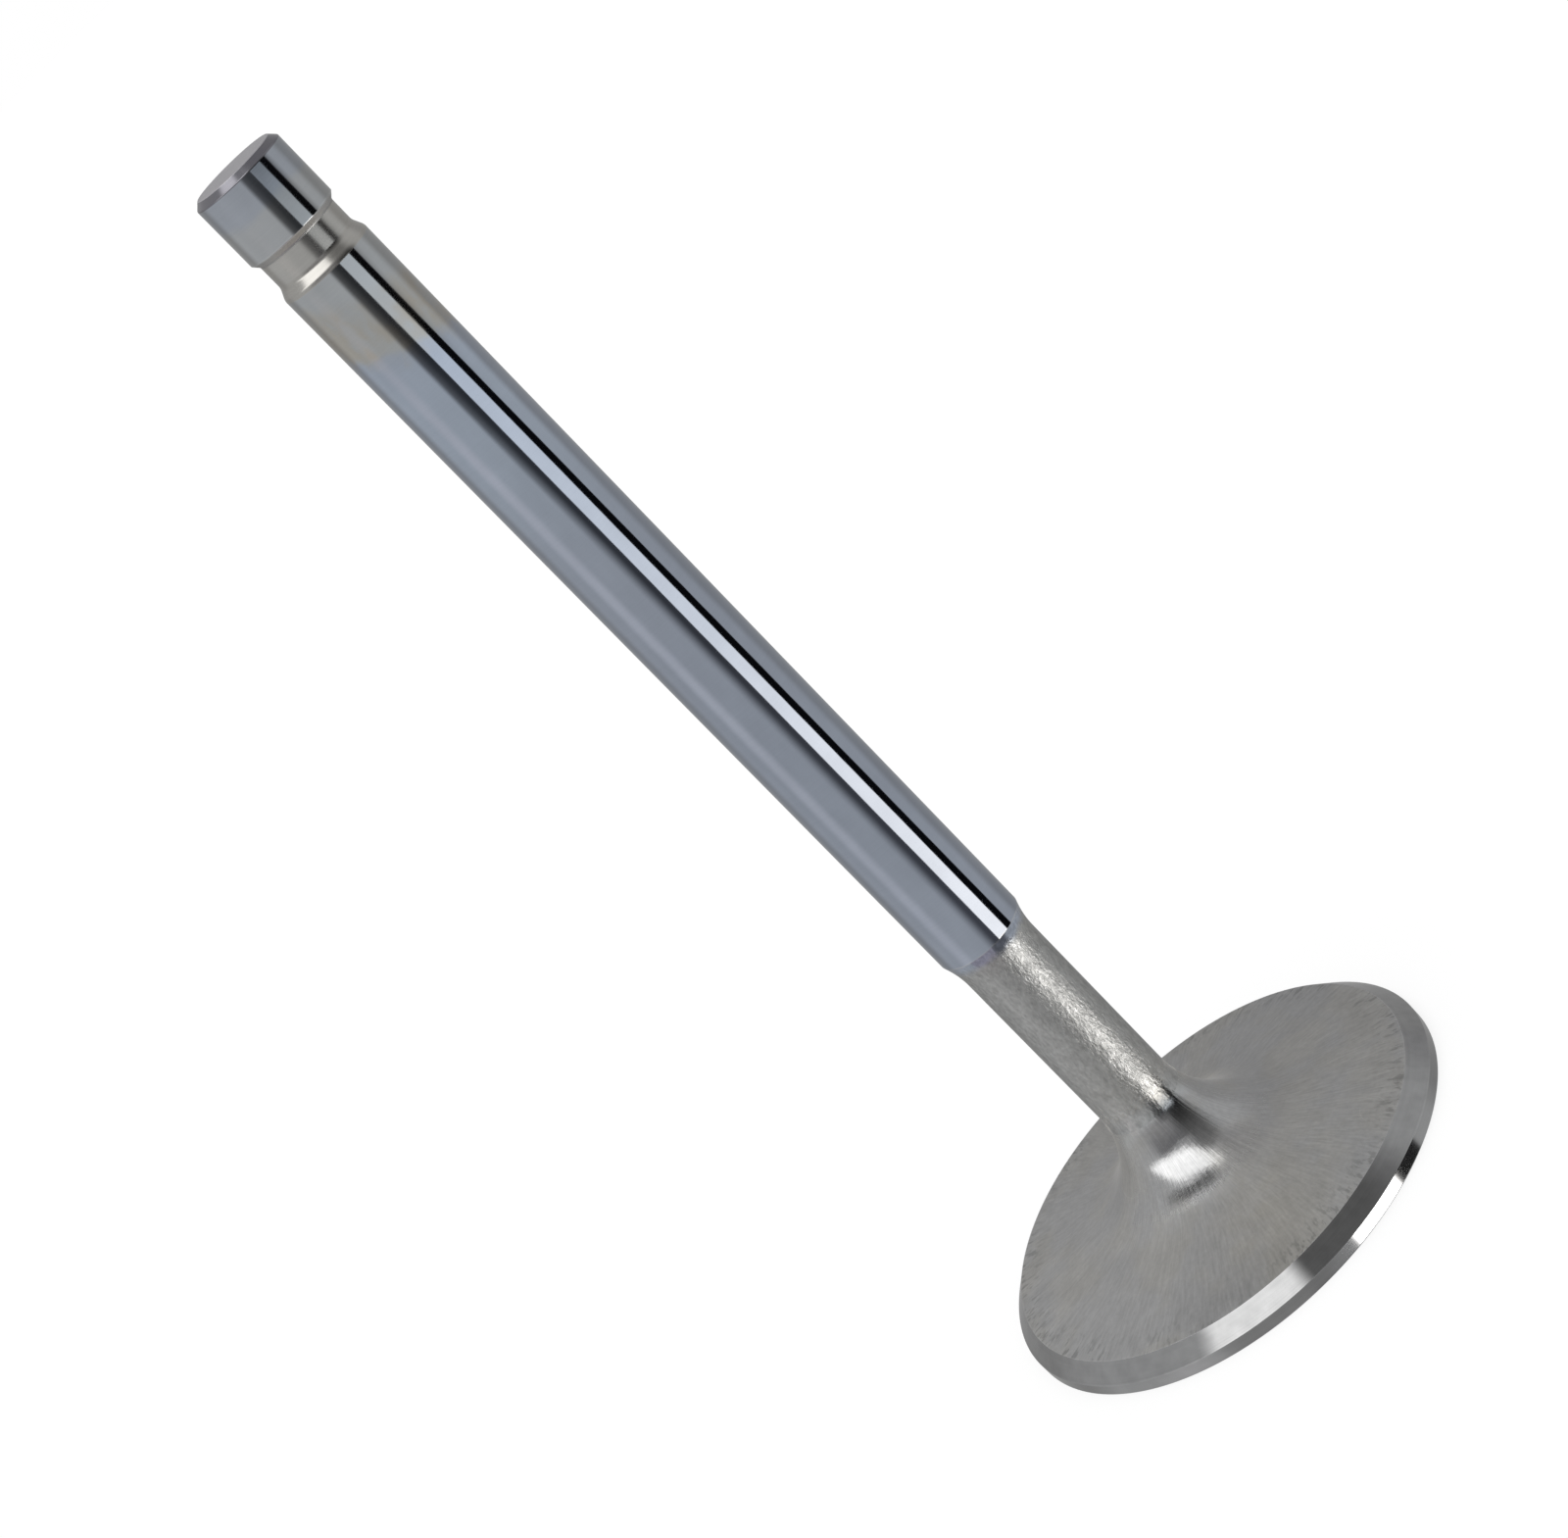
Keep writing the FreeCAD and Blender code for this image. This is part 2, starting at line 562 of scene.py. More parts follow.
def make_scratches():
    """A few thin curved lines, as single hairs of grit leave them."""
    tree, given, made = new_group(
        "scratches",
        [("Size", FLOAT, 0.004), ("Width", FLOAT, 0.01), ("Share", FLOAT, 0.3)],
        [("Mask", FLOAT)],
    )
    position = use(tree, "valve_coordinates")["Position"]
    scale = maths(tree, "DIVIDE", 1.0, given["Size"])
    bent = noise(tree, position, scale, 0.0, 0.4)
    near = maths(tree, "ABSOLUTE", maths(tree, "SUBTRACT", bent, 0.5))
    line = maths(tree, "SUBTRACT", 1.0, ramp(tree, near, 0.0, given["Width"]))
    moved = vector_maths(tree, "ADD", position, (0.03, 0.01, 0.02))
    low = maths(tree, "SUBTRACT", 0.7, maths(tree, "MULTIPLY", given["Share"], 0.4))
    kept = ramp(tree, noise(tree, moved, scale, 1.0), low, maths(tree, "ADD", low, 0.05))
    feed(tree, made["Mask"], maths(tree, "MULTIPLY", line, kept))


def make_zone():
    """Mask of a stretch between two heights, with soft ragged ends."""
    tree, given, made = new_group(
        "zone",
        [("Bottom", FLOAT, 0.0), ("Top", FLOAT, 0.1), ("Softness", FLOAT, 0.0005),
         ("Raggedness", FLOAT, 0.0005), ("Rag Size", FLOAT, 0.002), ("Lean", FLOAT, 0.0)],
        [("Mask", FLOAT)],
    )
    place_of = use(tree, "valve_coordinates")
    sideways = split(tree, place_of["Position"])[0]
    leaning = maths(tree, "MULTIPLY_ADD", sideways, given["Lean"], place_of["Height"])
    scale = maths(tree, "DIVIDE", 1.0, given["Rag Size"])
    rag = noise(tree, place_of["Position"], scale, 3.0)
    height = swung(tree, leaning, rag, given["Raggedness"])
    soft = given["Softness"]
    over = maths(tree, "DIVIDE", maths(tree, "SUBTRACT", height, given["Bottom"]), soft)
    under = maths(tree, "DIVIDE", maths(tree, "SUBTRACT", given["Top"], height), soft)
    inside = maths(tree, "MINIMUM", ramp(tree, over, -1.0, 1.0), ramp(tree, under, -1.0, 1.0))
    feed(tree, made["Mask"], inside)


def make_edge_wear_and_highlight():
    """Lighter, smoother steel along the broken edges: rubbed steel and a painted edge highlight.
    """
    tree, given, made = new_group(
        "edge_wear_and_highlight",
        [("Color", COLOUR, None), ("Roughness", FLOAT, 0.2), ("Worn", COLOUR, None),
         ("Amount", FLOAT, 0.6)],
        [("Color", COLOUR), ("Roughness", FLOAT)],
    )
    mark = add(tree, "ShaderNodeAttribute", attribute_name="edge").outputs["Fac"]
    patches = use(tree, "mottling", Patch=0.0012, Grain=0.0003)["Patches"]
    uneven = ramp(tree, patches, 0.35, 0.6, 0.4, 1.0)
    part = maths(tree, "MULTIPLY", maths(tree, "MULTIPLY", mark, uneven), given["Amount"])
    feed(tree, made["Color"], blend_colour(tree, part, given["Color"], given["Worn"]))
    smoother = maths(tree, "MULTIPLY_ADD", part, -0.4, 1.0)
    feed(tree, made["Roughness"], maths(tree, "MULTIPLY", given["Roughness"], smoother))


def make_shared_effects():
    """Every node group that the finishes share."""
    make_valve_coordinates()
    make_ground_lines()
    make_radial_strokes()
    make_mottling()
    make_scratches()
    make_zone()
    make_edge_wear_and_highlight()


# Finishes of the valve


def new_material(name):
    """A material with its node tree and its shader."""
    material = bpy.data.materials.new(name)
    material.use_nodes = True
    return material, material.node_tree, material.node_tree.nodes["Principled BSDF"]


def new_metal(name):
    """A material with its node tree and its shader, ready for a metal finish."""
    material, tree, shader = new_material(name)
    shader.inputs["Metallic"].default_value = 1.0
    return material, tree, shader


def finish_metal(tree, shader, f, base, roughness, height, depth, wear_and_highlight=0.6):
    """Feeds a metal's colour, roughness and relief through the rubbed edges with their painted
    highlight.
    """
    worn_and_highlighted = use(tree, "edge_wear_and_highlight", Color=opaque(base), Roughness=roughness, Worn=opaque(f.wear_and_highlight),
               Amount=wear_and_highlight)
    feed(tree, shader.inputs["Base Color"], worn_and_highlighted["Color"])
    feed(tree, shader.inputs["Roughness"], worn_and_highlighted["Roughness"])
    bump = add(tree, "ShaderNodeBump", {"Strength": 1.0, "Distance": depth, "Height": height})
    feed(tree, shader.inputs["Normal"], bump.outputs["Normal"])


def shaded(tree, base, *shades):
    """A colour made lighter and darker by values from nothing to one, each with a spread."""
    for value, spread in shades:
        level = ramp(tree, value, 0.25, 0.75, 1.0 - spread, 1.0 + spread, smooth=False)
        base = vector_maths(tree, "SCALE", base, scale=level)
    return base


def stem_finish(f):
    """Polished plating with fine grinding lines, bare ground steel above it and a blued end."""
    material, tree, shader = new_metal("ground_stem")
    place_of = use(tree, "valve_coordinates")
    plated = use(tree, "zone", Bottom=-1.0, Top=f.plating_top, Softness=0.0006,
                 Raggedness=0.0022, Rag_Size=0.0022, Lean=f.plating_lean)["Mask"]
    stained = use(tree, "zone", Bottom=f.stain_bottom, Top=f.stain_top, Softness=0.0012,
                  Raggedness=0.004, Rag_Size=0.003, Lean=f.plating_lean)["Mask"]
    blued = use(tree, "zone", Bottom=f.hardened_bottom, Top=1.0, Softness=0.0005,
                Raggedness=0.002, Rag_Size=0.003)["Mask"]
    patches = use(tree, "mottling", Patch=0.0016, Grain=0.0004, Stretch=0.6)
    clouds = use(tree, "mottling", Patch=0.004, Grain=0.0022, Stretch=0.22)
    lines = use(tree, "ground_lines", Along=place_of["Height"], Spacing=0.00012,
                Waver=0.8)["Height"]
    base = blend_colour(tree, plated, f.bare_stem, f.plating)
    uneven = ramp(tree, patches["Patches"], 0.35, 0.65, 0.15, 0.8)
    tint = maths(tree, "MULTIPLY", stained, uneven)
    base = blend_colour(tree, tint, base, f.stain)
    base = blend_colour(tree, blued, base, f.hardened)
    base = shaded(tree, base, (lines, 0.02), (clouds["Patches"], 0.06),
                  (patches["Patches"], 0.03))
    rough = ramp(tree, plated, 0.0, 1.0, f.bare_roughness, f.plating_roughness, smooth=False)
    rough = swung(tree, rough, lines, 0.03)
    rough = maths(tree, "MULTIPLY_ADD", tint, 0.05, rough)
    waves_to_lines = 60.0
    relief = maths(tree, "MULTIPLY_ADD", clouds["Grains"], waves_to_lines, lines)
    finish_metal(tree, shader, f, base, rough, relief, STEM_RELIEF)
    shader.inputs["Anisotropic"].default_value = 0.3
    shader.inputs["Anisotropic Rotation"].default_value = 0.25
    return material


def neck_finish(f, finish_line):
    """Scratch-brushed satin steel, mottled, smoother on the ramp and by the finish line."""
    material, tree, shader = new_metal("satin_neck")
    near_stem = use(tree, "zone", Bottom=f.ramp_bottom, Top=1.0, Softness=0.0005,
                    Raggedness=0.0010, Rag_Size=0.0015)["Mask"]
    patches = use(tree, "mottling", Patch=0.0009, Grain=0.0003, Stretch=0.7)
    streaks = use(tree, "mottling", Patch=0.0003, Grain=0.00014, Stretch=0.45)
    both = maths(tree, "MULTIPLY_ADD", patches["Patches"], 0.5,
                 maths(tree, "MULTIPLY", streaks["Patches"], 0.5))
    base = blend_colour(tree, near_stem, f.neck, f.plating)
    base = shaded(tree, base, (patches["Patches"], 0.07), (streaks["Patches"], 0.18),
                  (streaks["Grains"], 0.09))
    rough = ramp(tree, both, 0.35, 0.65, f.neck_roughness + 0.04, f.neck_roughness - 0.04)
    height = use(tree, "valve_coordinates")["Height"]
    above = ramp(tree, height, finish_line, f.satin_full)
    rough = maths(tree, "MULTIPLY", rough, maths(tree, "MULTIPLY_ADD", above, 0.6, 0.4))
    rough = add(tree, "ShaderNodeMix", {0: near_stem, 2: rough, 3: f.ramp_roughness}).outputs[0]
    grain_share, patch_share = 0.6, 0.35
    relief = maths(tree, "MULTIPLY_ADD", streaks["Grains"], grain_share,
                   maths(tree, "MULTIPLY", patches["Patches"], patch_share))
    relief = maths(tree, "ADD", streaks["Patches"], relief)
    middle = (1.0 + grain_share + patch_share) / 2
    rugged = maths(tree, "MULTIPLY", maths(tree, "MULTIPLY_ADD", near_stem, -0.95, 1.0),
                   maths(tree, "MULTIPLY_ADD", above, 0.65, 0.35))
    relief = maths(tree, "MULTIPLY", maths(tree, "SUBTRACT", relief, middle), rugged)
    finish_metal(tree, shader, f, base, rough, relief, BRUSHED_RELIEF)
    return material


def tulip_finish(f):
    """Steel brushed outward from the neck, smoother in the fillet, ragged by the seat."""
    material, tree, shader = new_metal("brushed_tulip")
    place_of = use(tree, "valve_coordinates")
    fine = use(tree, "radial_strokes", Strokes=75.0, Length=0.0016, Swirl=0.01)["Height"]
    broad = use(tree, "radial_strokes", Strokes=22.0, Length=0.0035, Swirl=0.03)["Height"]
    dashes = use(tree, "radial_strokes", Strokes=46.0, Length=0.0012, Swirl=0.01)["Height"]
    patches = use(tree, "mottling", Patch=0.0035, Grain=0.0004)
    areas = use(tree, "mottling", Patch=0.009, Grain=0.006)
    hairs = use(tree, "scratches", Size=0.007, Width=0.004, Share=0.2)["Mask"]
    along = maths(tree, "ADD", place_of["Height"], place_of["Radius"])
    rings = use(tree, "ground_lines", Along=along, Spacing=0.0002, Waver=2.5)["Height"]
    facing = split(tree, place_of["Direction"])[1]
    cone = ramp(tree, place_of["Radius"], *CONE_RADII)
    cone = maths(tree, "MAXIMUM", cone, ramp(tree, facing, -0.6, -0.1))
    rim = ramp(tree, place_of["Radius"], *DASH_RADII)
    rim = maths(tree, "MULTIPLY", rim, ramp(tree, areas["Patches"], 0.40, 0.58, 0.25, 1.0))
    base = blend_colour(tree, ramp(tree, areas["Grains"], 0.42, 0.62), f.tulip, f.haze)
    base = shaded(tree, base, (fine, 0.12), (broad, 0.04), (patches["Patches"], 0.06),
                  (patches["Grains"], 0.06))
    dash = maths(tree, "MULTIPLY", rim, ramp(tree, dashes, 0.52, 0.62))
    for mark, change in ((dash, -0.30), (hairs, 0.14)):
        level = maths(tree, "MULTIPLY_ADD", mark, change, 1.0)
        base = vector_maths(tree, "SCALE", base, scale=level)
    rough = ramp(tree, cone, 0.0, 1.0, f.fillet_roughness, f.tulip_roughness, smooth=False)
    rough = swung(tree, rough, fine, 0.12)
    relief = maths(tree, "MULTIPLY_ADD", broad, 0.5, maths(tree, "MULTIPLY", fine, 0.3))
    relief = maths(tree, "MULTIPLY", relief, maths(tree, "MULTIPLY_ADD", cone, 0.65, 0.35))
    turned = maths(tree, "MULTIPLY", rings, maths(tree, "MULTIPLY_ADD", cone, -0.06, 0.075))
    relief = maths(tree, "ADD", relief, turned)
    relief = maths(tree, "MULTIPLY_ADD", patches["Grains"], 0.12, relief)
    relief = maths(tree, "MULTIPLY_ADD", hairs, -0.08, relief)
    finish_metal(tree, shader, f, base, rough, relief, BRUSHED_RELIEF)
    shader.inputs["Anisotropic"].default_value = 0.3
    return material


def ring_finish(name, f, base, roughness, along, spacing, depth, mottle=0.025, wear_and_highlight=0.6):
    """Steel turned or ground in rings, counted along the axis or outward from it."""
    material, tree, shader = new_metal(name)
    place_of = use(tree, "valve_coordinates")
    lines = use(tree, "ground_lines", Along=place_of[along], Spacing=spacing,
                Waver=0.6)["Height"]
    patches = use(tree, "mottling", Patch=0.0014, Grain=0.00025)
    base = shaded(tree, base, (lines, 0.04), (patches["Patches"], mottle))
    rough = swung(tree, roughness, patches["Grains"], 0.03)
    finish_metal(tree, shader, f, base, rough, lines, depth, wear_and_highlight)
    return material


def valve_finishes(f, finish_line):
    """One material for each stretch of the outline, in their order."""
    return [
        ring_finish("turned_face", f, f.face, f.face_roughness, "Radius",
                    spacing=0.00025, depth=0.000004),
        ring_finish("ground_margin", f, f.margin, f.margin_roughness, "Height",
                    spacing=0.0001, depth=0.0000003, mottle=0.05, wear_and_highlight=0.3),
        ring_finish("ground_seat", f, f.seat, f.seat_roughness, "Radius",
                    spacing=0.0001, depth=0.0000003, mottle=0.09, wear_and_highlight=0.3),
        tulip_finish(f),
        neck_finish(f, finish_line),
        stem_finish(f),
        ring_finish("ground_groove", f, f.groove, f.groove_roughness, "Height",
                    spacing=0.00015, depth=0.0000006),
        ring_finish("dull_shoulder", f, f.shoulder, f.shoulder_roughness, "Height",
                    spacing=0.00015, depth=0.000001),
        # The chamfer's dark colour is painted shade
        ring_finish("ground_chamfer", f, f.chamfer, f.chamfer_roughness, "Radius",
                    spacing=0.0002, depth=0.000001),
        ring_finish("hardened_tip", f, f.tip, f.tip_roughness, "Radius",
                    spacing=0.0002, depth=0.000001),
    ]


# Studio


# Cards in the tent. Places and sizes are in degrees: azimuth from the camera's side toward +X,
# half width, elevation, half height, softness of the sides and of the ends. Slant moves the
# card and taper widens it for each degree up, and tilt raises it for each degree round.
# Low and high are the levels at the lower and the upper end, and high is left out where
# it is the same.
CARDS = {
    "upper_ring": dict(azimuth=0, width=200, elevation=-8.5, height=4.5, soft=1, fade=3,
                       low=(0.61, 0.64, 0.65), high=(0.60, 0.61, 0.63)),
    "mid_shade": dict(azimuth=0, width=200, elevation=-18, height=4, soft=1, fade=4,
                      low=(0.515, 0.525, 0.535), high=(0.515, 0.52, 0.53)),
    "left_wall": dict(azimuth=-155, width=33, elevation=32, height=24, soft=12, fade=8,
                      low=(0.50, 0.50, 0.505), high=(0.57, 0.57, 0.57)),
    "right_wall": dict(azimuth=150, width=33, elevation=26, height=24, soft=12, fade=8,
                       low=(0.38, 0.38, 0.39), high=(0.42, 0.42, 0.42)),
    "back_dim": dict(azimuth=172, width=66, elevation=-12.5, height=24.5, soft=13, fade=6,
                     low=(0.36, 0.36, 0.36), high=(0.40, 0.40, 0.40)),
    "side_bump": dict(azimuth=-71, width=12, elevation=-24, height=16, soft=10, fade=4,
                      low=(0.64, 0.64, 0.65), high=(0.72, 0.71, 0.72)),
    "low_front": dict(azimuth=-20, width=30, elevation=-38, height=11, soft=10, fade=2,
                      low=(0.38, 0.38, 0.38)),
    "low_shade": dict(azimuth=-38, width=45, elevation=-64, height=20, soft=5, fade=5,
                      low=(0.45, 0.41, 0.45)),
    "low_dark": dict(azimuth=24, width=29, elevation=-50, height=17, soft=5, fade=3,
                     low=(0.16, 0.16, 0.17)),
    "lamp_shadow": dict(azimuth=-15, width=40, elevation=13, height=16.5, soft=12, fade=2,
                        low=(0.42, 0.42, 0.43), high=(0.22, 0.22, 0.23)),
    "upper_flag": dict(azimuth=42, width=27, elevation=23, height=31, soft=14, fade=4,
                       low=(0.01, 0.01, 0.01), high=(0.24, 0.24, 0.24)),
    "front_shade": dict(azimuth=5, width=11, elevation=-5, height=7, soft=6, fade=3,
                        low=(0.18, 0.18, 0.185)),
    "dark_front": dict(azimuth=20, width=19, elevation=-16, height=12, soft=14, fade=2,
                       low=(0.10, 0.10, 0.11), high=(0.037, 0.04, 0.044)),
    "bright_window": dict(azimuth=39.3, width=16.6, elevation=-19, height=13.5, soft=0.8,
                          fade=2.5, slant=-0.16, low=(2.30, 2.14, 1.94),
                          high=(0.84, 0.90, 0.96)),
    "black_flag": dict(azimuth=61.1, width=8.7, elevation=-15, height=13, soft=1, fade=1,
                       slant=-0.28, taper=-0.06, low=(0.005, 0.005, 0.006)),
    "low_window": dict(azimuth=40.9, width=16.3, elevation=-33.5, height=6.5, soft=1.2, fade=1,
                       low=(5.6, 5.55, 5.5)),
    "low_flag": dict(azimuth=68.5, width=10, elevation=-31.6, height=2.4, soft=1.2, fade=0.8,
                     low=(0.01, 0.01, 0.01)),
    "tip_shade": dict(azimuth=100, width=50, elevation=62, height=16, soft=15, fade=5,
                      low=(0.40, 0.40, 0.41)),
    "tip_lamp": dict(azimuth=-80, width=34, elevation=73, height=11, soft=8, fade=4,
                     low=(1.8, 1.8, 1.8)),
    "soft_lamp": dict(azimuth=-25.3, width=39.3, elevation=49, height=19, soft=4.5, fade=5,
                      slant=0.955, taper=0.205, tilt=0.25, low=(1.95, 1.95, 1.95),
                      high=(1.65, 1.65, 1.65)),
}

# Level of the walls for light that the steel has already mirrored once
INNER_LEVEL = (1.22, 1.18, 1.11)

# Way that the sunlight goes
SUN_DIRECTION = (0.35, 0.25, -1.0)

# Glowing cards seen only in the steel's reflections: crescent_card puts a dark crescent under the
# fillet's highlight, seat_card a grey stretch on the seat
# Small paper cards beside the head. Outer and inner give the radius and height of their edges
# and centre that of their bend, in metres. Ends are azimuths in degrees, and so is full, where
# the paper has thickened from clear at its ends to its full thickness. Level is its brightness.
SMALL_CARDS = {
    "crescent_card": dict(outer=(0.0256, 0.020), inner=(0.0227, 0.020), ends=(-50.0, 6.0),
                          full=(-26.0, -7.0), level=0.01, centre=(0.00135, 0.0136, 0.0)),
    "seat_card": dict(outer=(0.034, 0.012), inner=(0.025, 0.012), ends=(-6.5, 52.0),
                      full=(1.0, 28.0), level=0.19, centre=(0.0, 0.0, 0.0)),
}

CARD_SOCKETS = (
    "Azimuth", "Width", "Elevation", "Height", "Soft", "Fade", "Slant", "Taper", "Tilt",
)


def make_studio_card():
    """Mask of one card in the tent, and how far up the card a direction lies."""
    tree, given, made = new_group(
        "studio_card",
        [("Direction", VECTOR, None)] + [(name, FLOAT, 0.0) for name in CARD_SOCKETS],
        [("Mask", FLOAT), ("Rise", FLOAT)],
    )
    parts = split(tree, given["Direction"])
    up = maths(tree, "DEGREES", maths(tree, "ARCSINE", parts[2]))
    above = maths(tree, "SUBTRACT", up, given["Elevation"])
    aim = maths(tree, "MULTIPLY_ADD", given["Slant"], above, given["Azimuth"])
    across = maths(tree, "SUBTRACT", azimuth(tree, parts), aim)
    across = maths(tree, "WRAP", across, 180.0, -180.0)
    width = maths(tree, "MULTIPLY_ADD", given["Taper"], above, given["Width"])
    lifted = maths(tree, "SUBTRACT", above, maths(tree, "MULTIPLY", given["Tilt"], across))
    masks = []
    for distance, half, soft in ((across, width, "Soft"), (lifted, given["Height"], "Fade")):
        inside = maths(tree, "SUBTRACT", half, maths(tree, "ABSOLUTE", distance))
        masks.append(ramp(tree, maths(tree, "DIVIDE", inside, given[soft]), -1.0, 1.0))
    feed(tree, made["Mask"], maths(tree, "MULTIPLY", *masks))
    low = maths(tree, "MULTIPLY", given["Height"], -1.0)
    feed(tree, made["Rise"], ramp(tree, above, low, given["Height"]))


def tent_material(settings):
    """Plain glowing walls with the cards on them, for the steel to mirror."""
    material, tree, shader = new_material("tent_walls")
    tree.nodes.remove(shader)
    position = add(tree, "ShaderNodeTexCoord").outputs["Object"]
    direction = vector_maths(tree, "NORMALIZE", position)
    light = settings.room
    for sizes in CARDS.values():
        given = {name: float(sizes.get(name.lower(), 0.0)) for name in CARD_SOCKETS}
        card = use(tree, "studio_card", Direction=direction, **given)
        high = sizes.get("high", sizes["low"])
        level = blend_colour(tree, card["Rise"], sizes["low"], high)
        light = blend_colour(tree, card["Mask"], light, level)
    depth = add(tree, "ShaderNodeLightPath").outputs["Glossy Depth"]
    light = blend_colour(tree, maths(tree, "GREATER_THAN", depth, 1.5), light, INNER_LEVEL)
    glow = add(tree, "ShaderNodeEmission", {"Color": light, "Strength": 1.0})
    feed(tree, tree.nodes["Material Output"].inputs["Surface"], glow.outputs[0])
    return material


def seen_rays(tree):
    """One for camera, glossy and transmission rays, nothing for the rest."""
    path = add(tree, "ShaderNodeLightPath").outputs
    seen = maths(tree, "MAXIMUM", path["Is Camera Ray"], path["Is Glossy Ray"])
    return maths(tree, "MAXIMUM", seen, path["Is Transmission Ray"])


def floor_material(settings):
    """Pale floor, plain white to the eye but for the valve's soft shadow, clear from below."""
    material, tree, shader = new_material("pale_floor")
    shader.inputs["Base Color"].default_value = opaque(settings.floor_colour)
    shader.inputs["Roughness"].default_value = 1.0
    white = add(tree, "ShaderNodeEmission", {"Color": (1.0, 1.0, 1.0, 1.0), "Strength": 1.0})
    part = maths(tree, "MULTIPLY", seen_rays(tree), settings.floor_glow)
    mixed = add(tree, "ShaderNodeMixShader",
                {0: part, 1: shader.outputs[0], 2: white.outputs[0]})
    one_sided(tree, mixed)
    return material


def disc_mesh(name, radius, steps=96):
    """A round flat sheet facing up."""
    mesh = bpy.data.meshes.new(name)
    rim = [
        (radius * math.cos(math.tau * k / steps), radius * math.sin(math.tau * k / steps), 0.0)
        for k in range(steps)
    ]
    mesh.from_pydata([(0.0, 0.0, 0.0), *rim], [],
                     [(0, k + 1, (k + 1) % steps + 1) for k in range(steps)])
    return mesh


def small_card_mesh(name, sizes, steps=24):
    """A strip bent round its centre, its front toward the steel."""
    mesh = bpy.data.meshes.new(name)
    start, end = sizes["ends"]
    vertices = []
    for k in range(steps + 1):
        turn = math.radians(start + (end - start) * k / steps)
        for radius, height in (sizes["outer"], sizes["inner"]):
            vertices.append((radius * math.sin(turn), -radius * math.cos(turn), height))
    faces = [(2 * k + 1, 2 * k + 3, 2 * k + 2, 2 * k) for k in range(steps)]
    mesh.from_pydata(vertices, [], faces)
    return mesh


def paper_material(name, sizes):
    """Glowing paper, clear from behind, that thins out toward its ends."""
    material, tree, shader = new_material(name + "_paper")
    tree.nodes.remove(shader)
    turn = azimuth(tree, split(tree, add(tree, "ShaderNodeTexCoord").outputs["Object"]))
    paper = add(tree, "ShaderNodeEmission", {"Strength": sizes["level"]})
    (start, end), (full_start, full_end) = sizes["ends"], sizes["full"]
    thickness = maths(tree, "MULTIPLY", ramp(tree, turn, start, full_start),
                      ramp(tree, turn, full_end, end, 1.0, 0.0))
    clear = add(tree, "ShaderNodeBsdfTransparent")
    paper = add(tree, "ShaderNodeMixShader",
                {0: thickness, 1: clear.outputs[0], 2: paper.outputs[0]})
    one_sided(tree, paper)
    return material


def one_sided(tree, shader):
    """Shows a shader on the front only and leaves the back clear."""
    clear = add(tree, "ShaderNodeBsdfTransparent")
    behind = add(tree, "ShaderNodeNewGeometry").outputs["Backfacing"]
    sided = add(tree, "ShaderNodeMixShader",
                {0: behind, 1: shader.outputs[0], 2: clear.outputs[0]})
    feed(tree, tree.nodes["Material Output"].inputs["Surface"], sided.outputs[0])


def ball_mesh(name, radius):
    """A closed ball for the tent."""
    mesh = bpy.data.meshes.new(name)
    work = bmesh.new()
    bmesh.ops.create_icosphere(work, subdivisions=5, radius=radius)
    work.to_mesh(mesh)
    work.free()
    return mesh


def show(data, material=None):
    """An object in the scene for a mesh, a camera or a lamp."""
    made = bpy.data.objects.new(data.name, data)
    bpy.context.scene.collection.objects.link(made)
    if material is not None:
        data.materials.append(material)
    return made


def only_mirrored(thing):
    """Keeps a stage object out of everything but reflections."""
    for rays in ("camera", "diffuse", "transmission", "volume_scatter", "shadow"):
        setattr(thing, "visible_" + rays, False)


def build_world(settings):
    """Plain even light, with a white surround for everything that sees it."""
    world = bpy.data.worlds.new("studio_world")
    bpy.context.scene.world = world
    world.use_nodes = True
    tree = world.node_tree
    shade = tree.nodes["Background"]
    shade.inputs["Color"].default_value = (1.0, 1.0, 1.0, 1.0)
    strength = ramp(tree, seen_rays(tree), 0.0, 1.0, settings.world_level, 1.0, smooth=False)
    feed(tree, shade.inputs["Strength"], strength)


def build_camera(settings):
    """The camera, aimed and rolled as the picture was taken."""
    data = bpy.data.cameras.new("picture_camera")
    data.sensor_width = settings.sensor
    data.lens = settings.lens
    camera = show(data)
    eye = Vector(settings.camera_place)
    forward = (Vector(settings.camera_aim) - eye).normalized()
    level = forward.cross(Vector((0.0, 0.0, 1.0))).normalized()
    upright = level.cross(forward)
    roll = settings.camera_roll
    right = level * math.cos(roll) + upright * math.sin(roll)
    up = right.cross(forward)
    turned = Matrix((right, up, -forward)).transposed()
    camera.matrix_world = Matrix.Translation(eye) @ turned.to_4x4()
    bpy.context.scene.camera = camera


def build_sun(settings):
    """A very soft sun that gives the floor its even light and the valve its faint shadow."""
    data = bpy.data.lights.new("soft_sun", "SUN")
    data.energy = settings.sun_level
    data.angle = settings.sun_spread
    lamp = show(data)
    lamp.rotation_mode = "QUATERNION"
    lamp.rotation_quaternion = Vector(SUN_DIRECTION).to_track_quat("-Z", "Y")
    lamp.visible_glossy = False


# Operators, panel and registration


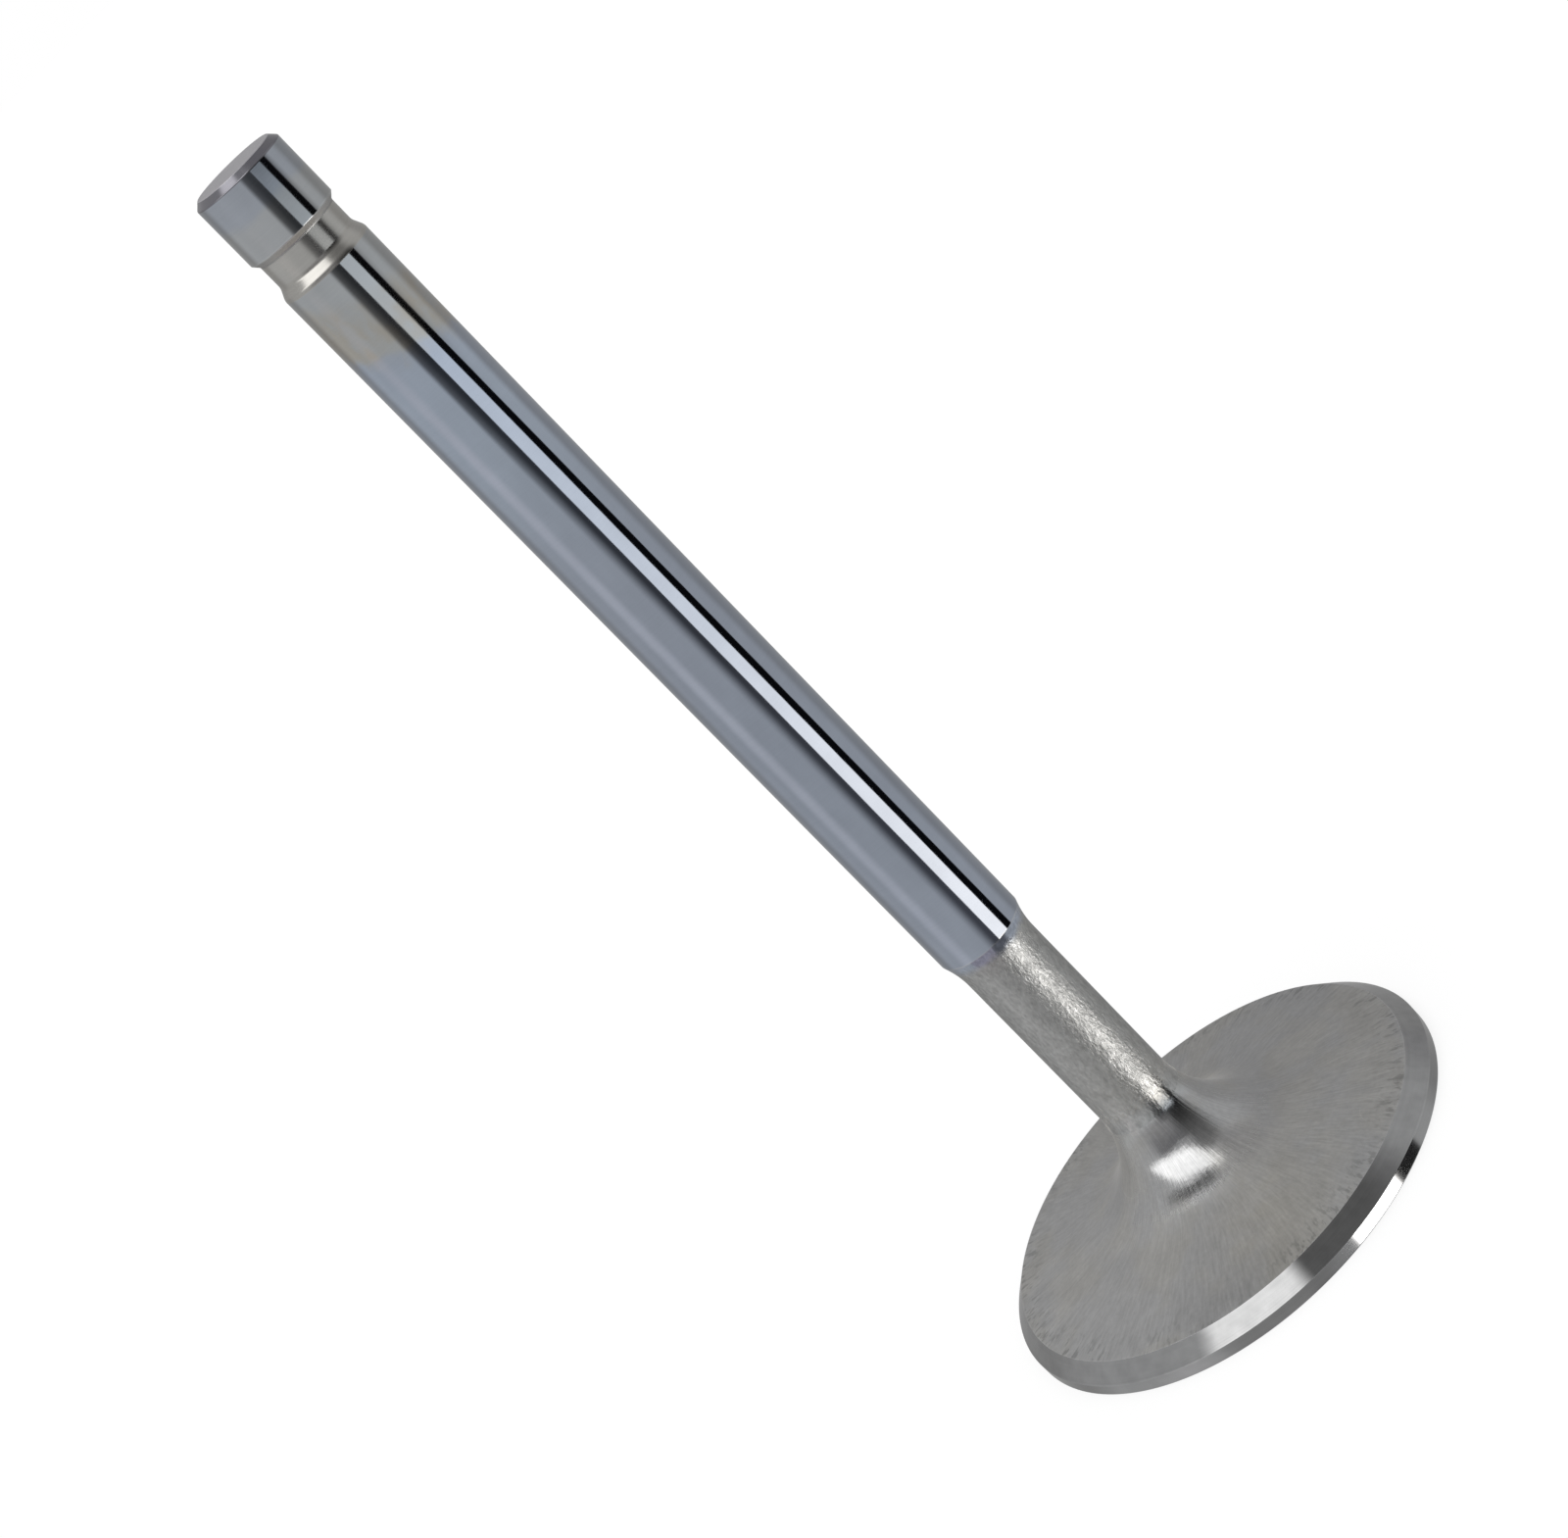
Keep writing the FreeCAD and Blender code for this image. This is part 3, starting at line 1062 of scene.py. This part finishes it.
class VALVE_OT_build(bpy.types.Operator):
    """Turn the valve's outline and give each stretch its finish"""

    bl_idname = "valve.build"
    bl_label = "Build valve"

    def execute(self, context):
        scene = context.scene
        make_shared_effects()
        sizes = scene.valve_sizes
        mesh = valve_mesh(sizes)
        for material in valve_finishes(scene.valve_finishes, sizes.finish_line):
            mesh.materials.append(material)
        piece = show(mesh)
        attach(piece, BODY)
        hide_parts(NODE)
        return {"FINISHED"}


class VALVE_OT_studio(bpy.types.Operator):
    """Lay the floor, hang the tent and lamps, and place the camera"""

    bl_idname = "valve.studio"
    bl_label = "Set up studio"

    def execute(self, context):
        settings = context.scene.valve_studio
        make_studio_card()
        floor = show(disc_mesh("floor", settings.floor_radius), floor_material(settings))
        floor.visible_glossy = False
        tent = show(ball_mesh("tent", settings.tent_radius), tent_material(settings))
        only_mirrored(tent)
        for name, sizes in SMALL_CARDS.items():
            card = show(small_card_mesh(name, sizes), paper_material(name, sizes))
            card.location = sizes["centre"]
            only_mirrored(card)
        build_sun(settings)
        build_world(settings)
        build_camera(settings)
        context.scene.view_settings.view_transform = "Standard"
        return {"FINISHED"}


class VALVE_PT_sidebar(bpy.types.Panel):
    """Lists the valve's builders"""

    bl_idname = "VALVE_PT_sidebar"
    bl_label = "Engine valve"
    bl_space_type = "VIEW_3D"
    bl_region_type = "UI"
    bl_category = "Valve"

    def draw(self, context):
        for operator in OPERATORS:
            self.layout.operator(operator.bl_idname)


OPERATORS = (VALVE_OT_build, VALVE_OT_studio)
GROUPS = {
    "valve_sizes": ValveSizes,
    "valve_finishes": ValveFinishes,
    "valve_studio": StudioSettings,
}
CLASSES = (*GROUPS.values(), *OPERATORS, VALVE_PT_sidebar)


def register():
    """Adds the classes and the scene's settings."""
    for item in CLASSES:
        bpy.utils.register_class(item)
    for name, group in GROUPS.items():
        setattr(bpy.types.Scene, name, PointerProperty(type=group))


def unregister():
    """Takes the settings and the classes away again."""
    for name in GROUPS:
        delattr(bpy.types.Scene, name)
    for item in reversed(CLASSES):
        bpy.utils.unregister_class(item)


def main():
    """Builds everything in order."""
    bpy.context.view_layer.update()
    register()
    bpy.ops.valve.build()
    bpy.ops.valve.studio()


if __name__ == "__main__":
    main()
